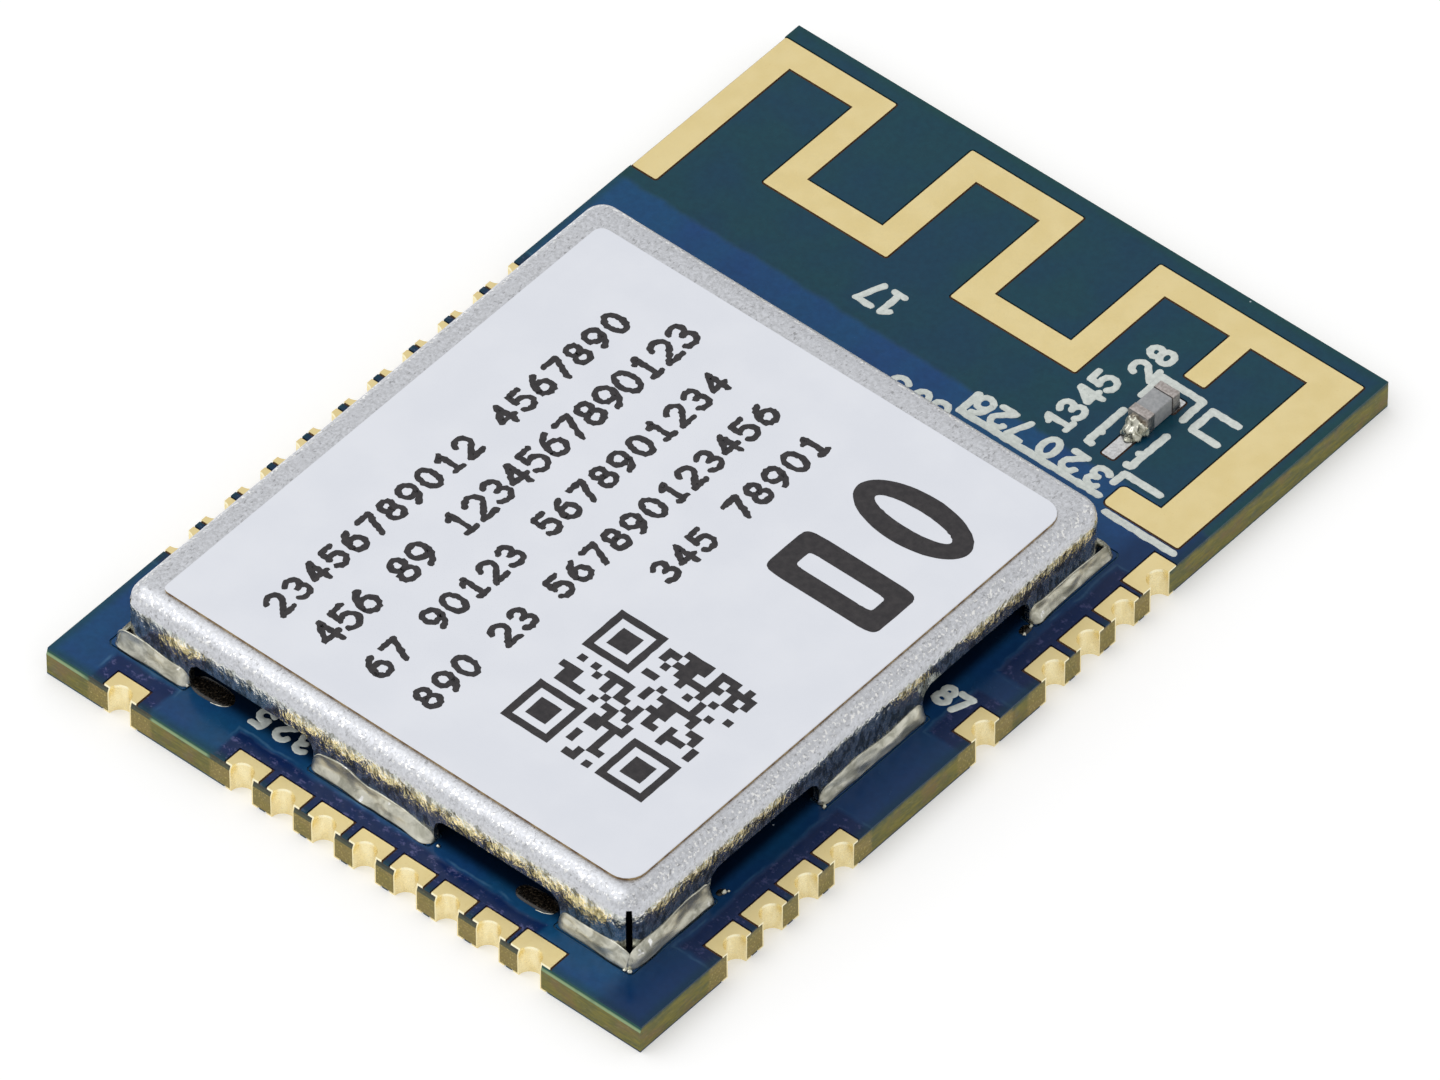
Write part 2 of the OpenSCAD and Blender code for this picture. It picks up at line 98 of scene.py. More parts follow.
class Paint:
    """One procedural material: a Principled shader and the nodes that drive it, in the frame's own metres."""

    def __init__(self, name, **settings):
        self.material = bpy.data.materials.new(name)
        self.material.use_nodes = True
        self.tree = self.material.node_tree
        self.tree.nodes.clear()
        self.shader = self.add("ShaderNodeBsdfPrincipled")
        output = self.add("ShaderNodeOutputMaterial")
        self.tree.links.new(self.shader.outputs["BSDF"], output.inputs["Surface"])
        self.place = self.add("ShaderNodeTexCoord").outputs["Object"]
        split = self.add("ShaderNodeSeparateXYZ")
        self.put(split.inputs[0], self.place)
        self.x, self.y, self.z = split.outputs
        for socket, value in settings.items():
            self.put(self.shader.inputs[socket.replace("_", " ")], value)

    def add(self, kind, **settings):
        node = self.tree.nodes.new(kind)
        for key, value in settings.items():
            setattr(node, key, value)
        return node

    def put(self, socket, value):
        if isinstance(value, bpy.types.NodeSocket):
            self.tree.links.new(value, socket)
        else:
            socket.default_value = value

    def drive(self, name, value):
        self.put(self.shader.inputs[name], value)

    def calc(self, operation, *values):
        node = self.add("ShaderNodeMath", operation=operation)
        for socket, value in zip(node.inputs, values):
            self.put(socket, value)
        return node.outputs[0]

    def ramp(self, value, low, high, start=0.0, end=1.0):
        node = self.add("ShaderNodeMapRange", interpolation_type="SMOOTHSTEP")
        for socket, item in zip(node.inputs, (value, low, high, start, end)):
            self.put(socket, item)
        return node.outputs[0]

    def mix(self, share, one, other):
        node = self.add("ShaderNodeMix", data_type="RGBA")
        self.put(node.inputs[0], share)
        self.put(node.inputs[6], one if isinstance(one, bpy.types.NodeSocket) else (*one, 1))
        self.put(node.inputs[7], other if isinstance(other, bpy.types.NodeSocket) else (*other, 1))
        return node.outputs[2]

    def stretched(self, stretch):
        node = self.add("ShaderNodeMapping")
        self.put(node.inputs["Vector"], self.place)
        node.inputs["Scale"].default_value = [1 / s for s in stretch]
        return node.outputs[0]

    def grain(self, size, detail=3.0, roughness=0.5, stretch=None, distortion=0.0):
        """Noise with features of that size, in metres; stretch lengthens them along X, Y and Z."""
        node = self.add("ShaderNodeTexNoise")
        self.put(node.inputs["Vector"], self.stretched(stretch) if stretch else self.place)
        node.inputs["Scale"].default_value = 1 / size
        node.inputs["Detail"].default_value = detail
        node.inputs["Roughness"].default_value = roughness
        node.inputs["Distortion"].default_value = distortion
        return node.outputs["Fac"]

    def cells(self, size, feature="F1"):
        node = self.add("ShaderNodeTexVoronoi", feature=feature)
        self.put(node.inputs["Vector"], self.place)
        node.inputs["Scale"].default_value = 1 / size
        return node.outputs

    def facing(self, axis):
        """The surface normal's share along X, Y or Z."""
        geometry = self.add("ShaderNodeNewGeometry")
        split = self.add("ShaderNodeSeparateXYZ")
        self.put(split.inputs[0], geometry.outputs["True Normal"])
        return split.outputs[axis]

    def bump(self, height, depth, strength=1.0):
        node = self.add("ShaderNodeBump")
        node.inputs["Strength"].default_value = strength
        node.inputs["Distance"].default_value = depth
        self.put(node.inputs["Height"], height)
        before = self.shader.inputs["Normal"].links
        if before:
            self.put(node.inputs["Normal"], before[0].from_socket)
        self.put(self.shader.inputs["Normal"], node.outputs[0])

    def inside(self, low, high):
        """How deep a point lies inside a rectangle of the XY plane, negative outside."""
        across = self.calc("MINIMUM", self.calc("SUBTRACT", self.x, low[0]),
                           self.calc("SUBTRACT", high[0], self.x))
        along = self.calc("MINIMUM", self.calc("SUBTRACT", self.y, low[1]),
                          self.calc("SUBTRACT", high[1], self.y))
        return self.calc("MINIMUM", across, along)

    def in_moats(self):
        """How deep a point lies inside the nearest moat, negative outside them all."""
        depth = None
        for low, high in moat_boxes():
            box = self.inside(low, high)
            depth = box if depth is None else self.calc("MAXIMUM", depth, box)
        return depth


# rows of terminals whose lands stand in an isolating moat, by number
MOATED_ROWS = ((1, 10), (11, 11), (12, 18), (20, 23), (24, 24), (25, 27))
MOAT_DEPTH = 0.8 * MM
MOAT_END = 0.34 * MM
AERIAL_ZONE_Y = 5.5 * MM


def moat_boxes():
    boxes = []
    for first, last in MOATED_ROWS:
        lows, highs = zip(*(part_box(f"terminal_{i:02d}") for i in (first, last)))
        low = Vector((min(p.x for p in lows), min(p.y for p in lows)))
        high = Vector((max(p.x for p in highs), max(p.y for p in highs)))
        if high.y < board_low.y + 1 * MM:
            boxes.append(((low.x - MOAT_END, low.y), (high.x + MOAT_END, low.y + MOAT_DEPTH)))
        elif low.x < 0:
            boxes.append(((low.x, low.y - MOAT_END), (low.x + MOAT_DEPTH, high.y + MOAT_END)))
        else:
            boxes.append(((high.x - MOAT_DEPTH, low.y - MOAT_END), (high.x, high.y + MOAT_END)))
    return boxes


def solder_mask_paint():
    """Glossy dark blue mask: bluer over the copper pour, teal over bare laminate, purple in the moats."""
    p = Paint("solder_mask", Metallic=0.0)
    patches = p.grain(1.6 * MM, 2.0)
    fine = p.grain(0.12 * MM, 4.0, 0.6)
    wander = p.calc("MULTIPLY", p.calc("SUBTRACT", p.grain(0.5 * MM, 2.0), 0.5), 0.18 * MM)

    pour = p.mix(p.ramp(patches, 0.35, 0.7), (0.010, 0.060, 0.190), (0.008, 0.073, 0.185))
    bare = p.mix(p.ramp(patches, 0.35, 0.65), (0.007, 0.050, 0.094), (0.007, 0.056, 0.082))
    depth = p.calc("ADD", p.in_moats(), wander)
    moat = p.ramp(depth, -0.05 * MM, 0.08 * MM)
    streaks = p.grain(0.09 * MM, 3.0, 0.7, stretch=(1.8, 1.4, 1))
    moat_colour = p.mix(p.ramp(streaks, 0.54, 0.68), (0.004, 0.012, 0.078), (0.105, 0.105, 0.260))
    line = p.calc("MULTIPLY", p.ramp(depth, -0.10 * MM, -0.06 * MM),
                  p.ramp(depth, -0.05 * MM, -0.01 * MM, 1, 0))
    broken = p.ramp(p.grain(0.7 * MM, 2.0), 0.42, 0.62, 0.0, 0.4)

    zone = p.ramp(p.calc("ADD", p.y, wander), AERIAL_ZONE_Y - 0.05 * MM, AERIAL_ZONE_Y + 0.12 * MM)
    colour = p.mix(zone, pour, bare)
    colour = p.mix(p.calc("MULTIPLY", moat, 0.85), colour, moat_colour)
    colour = p.mix(p.calc("MULTIPLY", line, broken), colour, (0.10, 0.24, 0.40))
    # the mask runs thin and green along the board's edges
    border = p.ramp(p.calc("ADD", p.inside(board_low, board_high), p.calc("MULTIPLY", wander, 0.6)),
                    0.0, 0.26 * MM, 0.6, 0.0)
    colour = p.mix(border, colour, (0.008, 0.060, 0.050))
    colour = p.mix(p.ramp(fine, 0.2, 0.8, 0.0, 0.25), colour, (0.002, 0.012, 0.03))
    # painted shade beside the can's right wall, where the can's shadow falls
    painted_shade_beside_can = p.calc("MULTIPLY", p.ramp(p.x, can_high.x - 0.2 * MM, can_high.x + 0.3 * MM, 0.0, 0.55),
                    p.calc("SUBTRACT", 1.0, zone))
    colour = p.mix(painted_shade_beside_can, colour, (0.001, 0.010, 0.045))
    # little light reaches the board inside the can
    covered = p.inside(can_low, can_high)
    colour = p.mix(p.ramp(covered, -0.10 * MM, 0.20 * MM, 0.0, 0.88), colour, (0.0004, 0.0016, 0.006))

    # sparse specks of dust
    spots = p.cells(0.8 * MM)
    near = p.ramp(spots["Distance"], 0.016, 0.030, 1, 0)
    chosen = p.ramp(p.grain(2.6 * MM, 0.0), 0.54, 0.58)
    colour = p.mix(p.calc("MULTIPLY", near, p.calc("MULTIPLY", chosen, 0.8)), colour, (0.5, 0.55, 0.6))

    p.drive("Base Color", colour)
    p.drive("Roughness", p.ramp(p.grain(0.8 * MM, 3.0), 0.3, 0.7, 0.16, 0.28))
    p.drive("Specular IOR Level", 0.20)
    p.bump(p.grain(0.45 * MM, 2.0), 6e-6, 0.5)
    p.bump(p.calc("ADD", zone, moat), -14e-6, 0.6)
    return p.material


def laminate_paint():
    """Sawn glass-fibre laminate: olive edges with fibre bundles, burnt brown where the mask is open."""
    p = Paint("laminate", Metallic=0.0)
    bundles = p.grain(0.16 * MM, 4.0, 0.65, stretch=(2.6, 2.6, 0.5))
    blots = p.grain(0.6 * MM, 3.0, 0.6)
    fibres = p.grain(0.03 * MM, 2.0, 0.5, stretch=(3, 3, 1))
    colour = p.mix(p.ramp(bundles, 0.3, 0.7), (0.094, 0.100, 0.021), (0.238, 0.208, 0.044))
    colour = p.mix(p.ramp(blots, 0.45, 0.7, 0.0, 0.65), colour, (0.205, 0.130, 0.055))
    colour = p.mix(p.ramp(p.grain(0.25 * MM, 2.0), 0.58, 0.72, 0.0, 0.25), colour, (0.12, 0.13, 0.11))
    colour = p.mix(p.ramp(fibres, 0.55, 0.8, 0.0, 0.35), colour, (0.36, 0.33, 0.15))
    # gold dust smeared over the teeth between the terminals
    teeth = p.in_moats()
    smeared = p.calc("MULTIPLY", p.ramp(teeth, -0.1 * MM, 0.0), p.ramp(blots, 0.35, 0.6, 0.55, 0.95))
    colour = p.mix(smeared, colour, (0.270, 0.205, 0.062))
    dust = p.calc("MULTIPLY", p.ramp(teeth, -0.1 * MM, 0.0), p.ramp(p.grain(0.05 * MM, 3.0, 0.7), 0.54, 0.66))
    colour = p.mix(p.calc("MULTIPLY", dust, 0.8), colour, (0.62, 0.50, 0.16))
    # the mask's ragged skirt along the upper arris
    fringe = p.calc("SUBTRACT", p.grain(0.22 * MM, 3.0), 0.5)
    skirt = p.calc("ADD", p.z, p.calc("MULTIPLY", fringe, 0.22 * MM))
    colour = p.mix(p.calc("MULTIPLY", p.ramp(skirt, 0.52 * MM, 0.66 * MM, 0.0, 0.9),
                          p.ramp(teeth, -0.1 * MM, 0.0, 1.0, 0.45)), colour, (0.012, 0.055, 0.050))
    up = p.facing(2)
    scored = p.calc("MULTIPLY", p.ramp(up, 0.1, 0.2), p.ramp(up, 0.9, 0.97, 1, 0))
    colour = p.mix(p.calc("MULTIPLY", scored, p.ramp(teeth, -0.1 * MM, 0.0, 1.0, 0.8)), colour,
                   p.mix(p.ramp(teeth, -0.1 * MM, 0.0), (0.010, 0.075, 0.062), (0.010, 0.022, 0.035)))
    # painted highlight: a pale line at the foot of the score, bluish film under the mask beside it
    edge_strip = p.calc("MULTIPLY", scored, p.ramp(p.y, board_low.y + 0.012 * MM, board_low.y + 0.026 * MM, 1, 0))
    edge_strip = p.calc("MULTIPLY", edge_strip, p.ramp(teeth, -0.1 * MM, 0.0, 1.0, 0.1))
    colour = p.mix(p.calc("MULTIPLY", edge_strip, p.ramp(blots, 0.3, 0.5, 0.35, 0.9)), colour, (0.30, 0.42, 0.22))
    # the open gaps round the lands: brown, and near the can a painted bluish highlight at the solder's foot
    gap_and_foot_highlight = p.mix(p.ramp(p.inside(can_low, can_high), -0.35 * MM, -0.22 * MM), (0.070, 0.026, 0.008),
                (0.030, 0.085, 0.150))
    colour = p.mix(p.ramp(up, 0.9, 0.97), colour, gap_and_foot_highlight)
    p.drive("Base Color", colour)
    p.drive("Roughness", p.ramp(bundles, 0.3, 0.7, 0.5, 0.72))
    p.drive("Specular IOR Level", 0.35)
    p.bump(bundles, 12e-6, 0.6)
    return p.material


def gold_paint():
    """Matte immersion gold with a faint grain and pits, glossier down the plated half holes, with painted
    sheen there and a painted highlight on their lip.
    """
    p = Paint("gold_plate", Metallic=1.0)
    soft = p.grain(0.6 * MM, 3.0)
    fine = p.grain(0.05 * MM, 3.0, 0.6)
    flat = p.ramp(p.facing(2), 0.4, 0.9)
    colour = p.mix(p.ramp(soft, 0.3, 0.7), (0.880, 0.722, 0.358), (0.918, 0.765, 0.402))
    # down the half holes the gold is paler with upright streaks: painted sheen
    barrel_gold_and_sheen = p.mix(p.ramp(p.grain(0.14 * MM, 2.0, 0.5, stretch=(1, 1, 2.5)), 0.35, 0.65),
                   (0.88, 0.75, 0.42), (0.94, 0.83, 0.51))
    # painted highlight on the lip where the barrel meets the land
    lip_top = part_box("terminal_02")[1].z
    painted_lip_highlight = p.ramp(p.z, lip_top - 0.09 * MM, lip_top - 0.04 * MM, 0.0, 0.8)
    barrel_gold_and_sheen = p.mix(painted_lip_highlight, barrel_gold_and_sheen, (1.0, 0.94, 0.68))
    colour = p.mix(flat, barrel_gold_and_sheen, colour)
    colour = p.mix(p.ramp(fine, 0.62, 0.8, 0.0, 0.25), colour, (0.62, 0.45, 0.17))
    p.drive("Base Color", colour)
    rough = p.ramp(fine, 0.3, 0.7, 0.36, 0.48)
    p.drive("Roughness", p.calc("MULTIPLY", rough, p.ramp(flat, 0.0, 1.0, 0.62, 1.0)))
    p.bump(fine, 2e-6, 0.5)
    return p.material


def tin_paint(name="tin_plate", low=(0.58, 0.58, 0.58), high=(0.80, 0.80, 0.81)):
    p = Paint(name, Metallic=1.0)
    fine = p.grain(0.06 * MM, 3.0, 0.6)
    p.drive("Base Color", p.mix(p.ramp(fine, 0.3, 0.7), low, high))
    p.drive("Roughness", p.ramp(fine, 0.3, 0.7, 0.3, 0.45))
    p.bump(fine, 4e-6, 0.6)
    return p.material


def shield_paint():
    """Tinned sheet: speckled matte lid and folds with painted sparkle on the ridge, smoother dented walls."""
    p = Paint("shield_sheet", Metallic=0.95)
    top = can_high.z
    speckle = p.grain(0.075 * MM, 4.0, 0.75)
    flecks = p.ramp(p.grain(0.06 * MM, 3.0, 0.6, stretch=(1.0, 1.8, 1.0)), 0.57, 0.70)
    cloud = p.grain(0.8 * MM, 3.0, 0.6)
    dapple = p.grain(0.13 * MM, 2.0, 0.6, stretch=(0.7, 0.7, 1.2))
    wall = p.ramp(p.calc("ADD", p.z, p.calc("MULTIPLY", p.calc("SUBTRACT", dapple, 0.5), 0.30 * MM)),
                  top - 0.40 * MM, top - 0.34 * MM, 1, 0)

    lid_colour = p.mix(p.ramp(speckle, 0.35, 0.65), (0.54, 0.55, 0.575), (0.74, 0.755, 0.795))
    lid_colour = p.mix(p.ramp(cloud, 0.4, 0.7, 0.0, 0.4), lid_colour, (0.66, 0.675, 0.71))
    lid_colour = p.mix(p.calc("MULTIPLY", flecks, 0.65), lid_colour, (0.26, 0.26, 0.27))
    ridge = p.calc("MULTIPLY", p.ramp(p.z, top - 0.22 * MM, top - 0.12 * MM),
                   p.ramp(p.z, top - 0.05 * MM, top - 0.01 * MM, 1, 0))
    # painted sparkle: white specks along the fold's ridge
    painted_ridge_sparkle = p.calc("MULTIPLY", ridge, p.ramp(p.grain(0.065 * MM, 2.0), 0.56, 0.64))
    lid_colour = p.mix(painted_ridge_sparkle, lid_colour, (1.0, 1.0, 0.98))
    wall_colour = p.mix(p.ramp(dapple, 0.35, 0.65), (0.54, 0.57, 0.55), (0.92, 0.91, 0.85))
    # darker patches over the walls
    dark_wall_patches = p.ramp(p.grain(0.20 * MM, 3.0, 0.65, stretch=(0.8, 0.8, 1.4)), 0.46, 0.60, 0.0, 0.8)
    wall_colour = p.mix(dark_wall_patches, wall_colour, (0.17, 0.17, 0.14))
    colour = p.mix(wall, lid_colour, wall_colour)
    # hardly any light reaches the can's inside
    hollow = p.calc("MULTIPLY", p.ramp(p.inside(can_low, can_high), 0.135 * MM, 0.149 * MM),
                    p.ramp(p.z, top - 0.42 * MM, top - 0.40 * MM, 1, 0))
    p.drive("Base Color", p.mix(p.calc("MULTIPLY", hollow, 0.9), colour, (0.02, 0.02, 0.02)))
    p.drive("Roughness", p.calc("ADD", p.ramp(speckle, 0.3, 0.7, 0.40, 0.50),
                                p.calc("ADD", p.calc("MULTIPLY", wall, -0.31),
                                       p.calc("MULTIPLY", painted_ridge_sparkle, -0.2))))
    p.bump(p.calc("MULTIPLY", p.calc("SUBTRACT", 1.0, wall), speckle), 7e-6, 0.8)
    p.bump(p.calc("MULTIPLY", wall, dapple), 19e-6, 0.8)
    p.bump(p.grain(0.25 * MM, 2.0), 10e-6, 0.5)
    return p.material


def solder_paint(name, rough):
    """Solder: pale beige-grey with soft darker flow marks and a few glints."""
    p = Paint(name, Metallic=1.0)
    flow = p.grain(0.22 * MM, 4.0, 0.6, stretch=(1.6, 1.6, 1), distortion=0.6)
    fine = p.grain(0.06 * MM, 3.0, 0.6)
    colour = p.mix(p.ramp(flow, 0.34, 0.62), (0.42, 0.415, 0.34), (0.72, 0.71, 0.61))
    colour = p.mix(p.ramp(fine, 0.62, 0.8, 0.0, 0.3), colour, (0.30, 0.27, 0.20))
    glint = p.ramp(p.grain(0.22 * MM, 2.0), 0.66, 0.74)
    colour = p.mix(glint, colour, (0.97, 0.97, 0.95))
    p.drive("Base Color", colour)
    p.drive("Roughness", p.calc("SUBTRACT", p.ramp(flow, 0.3, 0.7, rough + 0.12, rough),
                                p.calc("MULTIPLY", glint, 0.4 * rough)))
    p.bump(flow, 7e-6, 0.5)
    p.bump(fine, 3e-6, 0.6)
    return p.material


def label_paint():
    """Matte printed label: cool off-white face with the faintest mottle, brown cut edge."""
    p = Paint("label_paper", Metallic=0.0)
    mottle = p.grain(1.3 * MM, 3.0)
    fine = p.grain(0.05 * MM, 3.0, 0.6)
    face = p.mix(p.ramp(mottle, 0.3, 0.7), (0.757, 0.780, 0.842), (0.788, 0.809, 0.866))
    face = p.mix(p.ramp(fine, 0.6, 0.85, 0.0, 0.1), face, (0.60, 0.61, 0.66))
    edge_strip = p.mix(p.ramp(p.grain(0.2 * MM, 2.0), 0.3, 0.7), (0.16, 0.085, 0.03), (0.42, 0.30, 0.15))
    p.drive("Base Color", p.mix(p.ramp(p.facing(2), 0.5, 0.7), edge_strip, face))
    p.drive("Roughness", p.ramp(mottle, 0.3, 0.7, 0.42, 0.52))
    p.drive("Specular IOR Level", 0.3)
    p.bump(fine, 1.5e-6, 0.4)
    return p.material


def ink_paint():
    p = Paint("label_ink", Metallic=0.0)
    patches = p.grain(0.15 * MM, 3.0, 0.6)
    p.drive("Base Color", p.mix(p.ramp(patches, 0.3, 0.75), (0.028, 0.026, 0.029), (0.052, 0.048, 0.050)))
    p.drive("Roughness", p.ramp(patches, 0.3, 0.7, 0.5, 0.7))
    p.drive("Specular IOR Level", 0.25)
    return p.material


def silkscreen_paint():
    p = Paint("silkscreen", Metallic=0.0)
    patches = p.grain(0.1 * MM, 3.0, 0.6)
    p.drive("Base Color", p.mix(p.ramp(patches, 0.3, 0.7), (0.56, 0.60, 0.57), (0.69, 0.73, 0.69)))
    p.drive("Roughness", p.ramp(patches, 0.3, 0.7, 0.45, 0.6))
    p.bump(patches, 4e-6, 0.6)
    return p.material


def ceramic_paint(name, low, high, roughness):
    p = Paint(name, Metallic=0.0)
    fine = p.grain(0.06 * MM, 3.0, 0.6)
    p.drive("Base Color", p.mix(p.ramp(fine, 0.3, 0.7), low, high))
    p.drive("Roughness", p.ramp(fine, 0.3, 0.7, roughness, roughness + 0.12))
    p.bump(fine, 2e-6, 0.5)
    return p.material


def flux_paint():
    """Dark brown flux residue, glassy with grey grit."""
    p = Paint("flux", Metallic=0.0)
    grit = p.grain(0.05 * MM, 4.0, 0.7)
    p.drive("Base Color", p.mix(p.ramp(grit, 0.5, 0.75), (0.005, 0.004, 0.003), (0.10, 0.072, 0.045)))
    p.drive("Roughness", p.ramp(grit, 0.3, 0.7, 0.15, 0.4))
    p.bump(grit, 8e-6, 0.6)
    return p.material


PAINTS = {
    "laminate": laminate_paint(),
    "solder_mask": solder_mask_paint(),
    "gold_plate": gold_paint(),
    "tin_plate": tin_paint(),
    "shield_sheet": shield_paint(),
    "solder": solder_paint("solder", 0.28),
    "label_paper": label_paint(),
    "end_metal": tin_paint("end_metal", (0.36, 0.32, 0.30), (0.56, 0.52, 0.50)),
    "chip_plastic": ceramic_paint("chip_plastic", (0.012, 0.012, 0.013), (0.03, 0.03, 0.03), 0.5),
    "feed_ceramic": ceramic_paint("feed_ceramic", (0.27, 0.28, 0.29), (0.36, 0.365, 0.375), 0.3),
    "capacitor_ceramic": ceramic_paint("capacitor_ceramic", (0.33, 0.22, 0.13), (0.44, 0.31, 0.19), 0.4),
    "resistor_ceramic": ceramic_paint("resistor_ceramic", (0.010, 0.010, 0.011), (0.03, 0.03, 0.03), 0.3),
    "crystal_ceramic": ceramic_paint("crystal_ceramic", (0.22, 0.17, 0.12), (0.30, 0.24, 0.17), 0.45),
    "crystal_metal": tin_paint(),
    "coil_ferrite": ceramic_paint("coil_ferrite", (0.05, 0.05, 0.055), (0.09, 0.09, 0.095), 0.5),
}
INK = ink_paint()
SILKSCREEN = silkscreen_paint()
BRIGHT_SOLDER = solder_paint("bright_solder", 0.14)
FLUX = flux_paint()


def dress_cad_nodes():
    for entry in frame["record"]["subparts"]:
        mesh = nodes[entry["node"]].data
        mesh.materials.clear()
        mesh.materials.append(PAINTS[entry["material_slot"]])
    # the mask laps over the margin of the can's lands
    nodes["shield_lands"].data.materials[0] = PAINTS["solder_mask"]


# ---- small mesh tools ----


def add_piece(name, bm, material, smooth=True):
    mesh = bpy.data.meshes.new(name)
    bmesh.ops.recalc_face_normals(bm, faces=bm.faces)
    bm.to_mesh(mesh)
    bm.free()
    mesh.materials.append(material)
    for face in mesh.polygons:
        face.use_smooth = smooth
    piece = bpy.data.objects.new(name, mesh)
    bpy.context.scene.collection.objects.link(piece)
    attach(piece, "root")
    return piece


def bridge(bm, one, other):
    for i in range(len(one)):
        j = (i + 1) % len(one)
        bm.faces.new((one[i], one[j], other[j], other[i]))


def bends(before, here, after):
    one, other = here - before, after - here
    return one.length > 0 and other.length > 0 and abs(one.angle_signed(other)) > math.radians(50)


def add_stroke(bm, points, radius, base, height, order, rag=0.0, rings=(1.0, 0.92, 0.6), steps=5):
    """A pen stroke along a soft line: a low dome with round ends, its edge ragged by that share.

    Each stroke climbs a little along its way, and by its order, so that crossing strokes don't share a face.
    """
    last = len(points) - 1
    right, left = [], []
    for i, point in enumerate(points):
        along = (points[min(i + 1, last)] - points[max(i - 1, 0)]).normalized()
        across = Vector((-along.y, along.x))
        right.append((point, -across, i / last))
        left.append((point, across, i / last))
        if i in (0, last):
            turn = 1 if i else -1
            cap = []
            for k in range(1, steps):
                a = math.radians(-90 + 180 * k / steps)
                cap.append((point, turn * (along * math.cos(a) + across * math.sin(a)), i / last))
            if i:
                end_cap = cap
            else:
                start_cap = cap
    spokes = right + end_cap + left[::-1] + start_cap
    loops = []
    for level in rings:
        loop = []
        for middle, reach, share in spokes:
            spot = middle + reach * radius * level
            lump = noise.noise(Vector((*(spot / (0.07 * MM)), order * 0.37))) if rag else 0.0
            spot += reach * radius * level * rag * lump
            lift = 0.7 + 0.06 * (order % 3) + 0.12 * share
            loop.append(bm.verts.new((spot.x, spot.y, base + height * lift * math.sqrt(1 - level * level))))
        loops.append(loop)
    for one, other in zip(loops, loops[1:]):
        bridge(bm, one, other)
    bm.faces.new(loops[-1])


def add_path(bm, points, radius, base, height, step=None, order=0, **options):
    """Strokes along a line of points, one for each stretch between its sharp corners."""
    points = [Vector(point) for point in points]
    if step:
        finer = [points[0]]
        for before, after in zip(points, points[1:]):
            count = max(1, round((after - before).length / step))
            finer += [before.lerp(after, k / count) for k in range(1, count + 1)]
        points = finer
    first = 0
    for i in range(1, len(points)):
        if i == len(points) - 1 or bends(points[i - 1], points[i], points[i + 1]):
            add_stroke(bm, points[first:i + 1], radius, base, height, order, **options)
            first = i
            order += 1


def squarish(half, angle, power):
    """A point round the origin, on an ellipse of those half sizes at power 2, squarer above."""
    c, s = math.cos(angle), math.sin(angle)
    return Vector((half.x * abs(c) ** (2 / power) * math.copysign(1, c),
                   half.y * abs(s) ** (2 / power) * math.copysign(1, s)))


def arc(middle, radii, start, end, steps=8):
    """Points of an elliptic arc, in degrees."""
    angles = [math.radians(start + (end - start) * k / steps) for k in range(steps + 1)]
    return [(middle[0] + radii[0] * math.cos(a), middle[1] + radii[1] * math.sin(a)) for a in angles]


# plain digits as pen strokes, on a field 4 wide and 6 high
DIGITS = {
    "0": [arc((2, 3), (1.9, 3), 0, 360, 14)],
    "1": [[(0.8, 4.9), (2.2, 6), (2.2, 0)], [(0.9, 0), (3.5, 0)]],
    "2": [arc((2, 4.2), (1.9, 1.8), 165, -35) + [(0.1, 0), (3.9, 0)]],
    "3": [arc((1.9, 4.5), (1.7, 1.5), 150, -90), arc((1.9, 1.6), (2.0, 1.6), 80, -150)],
    "4": [[(2.9, 0), (2.9, 6), (0.1, 1.9), (4, 1.9)]],
    "5": [[(3.6, 6), (0.6, 6), (0.4, 3.3)] + arc((1.8, 1.95), (2.0, 1.95), 120, -150)],
    "6": [arc((2, 1.9), (1.9, 1.9), 0, 360, 12), arc((3.4, 1.9), (3.3, 4.1), 180, 100, 5)],
    "7": [[(0.1, 6), (3.9, 6), (1.5, 0)]],
    "8": [arc((2, 4.5), (1.55, 1.5), 0, 360, 10), arc((2, 1.6), (1.9, 1.6), 0, 360, 12)],
    "9": [arc((2, 4.1), (1.9, 1.9), 0, 360, 12), arc((0.6, 4.1), (3.3, 4.1), 0, -80, 5)],
}


def add_digit(bm, digit, corner, height, turn, radius, base, thickness, **options):
    """One digit with its lower left corner there, turned about that corner by degrees."""
    c, s = math.cos(math.radians(turn)), math.sin(math.radians(turn))
    scale = height / 6
    for order, stroke in enumerate(DIGITS[digit]):
        points = [
            (corner[0] + scale * (c * u - s * v), corner[1] + scale * (s * u + c * v))
            for u, v in stroke
        ]
        add_path(bm, points, radius, base, thickness, order=order, **options)


# ---- label ----

INK_HEIGHT = 0.004 * MM
# corner radii of the label, from the back right one on, anticlockwise
LABEL_CORNERS = [r * MM for r in (0.42, 0.22, 0.14, 0.44)]

# rows of plain counting digits: middle x, first and last y, glyph height, first digit, blanks
PRINT_ROWS = (
    (-3.87, -8.42, 1.66, 0.65, 1, (11,)),
    (-2.68, -8.40, 2.49, 0.72, 3, (3, 6)),
    (-1.40, -8.40, 1.49, 0.65, 5, (2, 8)),
    (-0.17, -8.40, 1.89, 0.65, 7, (3, 6)),
    (1.07, -3.10, 1.92, 0.65, 2, (3,)),
)
CHARACTER_STEP = 0.533 * MM
PRINT_PEN = 0.068 * MM
# what the pen adds to a glyph's height
PRINT_TRIM = 0.13 * MM
CODE_LOW = Vector((1.16, -7.66)) * MM
CODE_CELL = 0.1652 * MM
CODE_CELLS = 21
CODE_MARK = 7
EDGE_SHAKE = 0.012 * MM

# plain marks: low corner, high corner and power, in mm
PLAIN_MARKS = (
    ((2.42, 0.42), (5.16, 1.79), 2.0),
    ((2.42, -1.66), (5.16, -0.34), 9.0),
)
MARK_BAND = 0.44 * MM
MARK_POINTS = 56


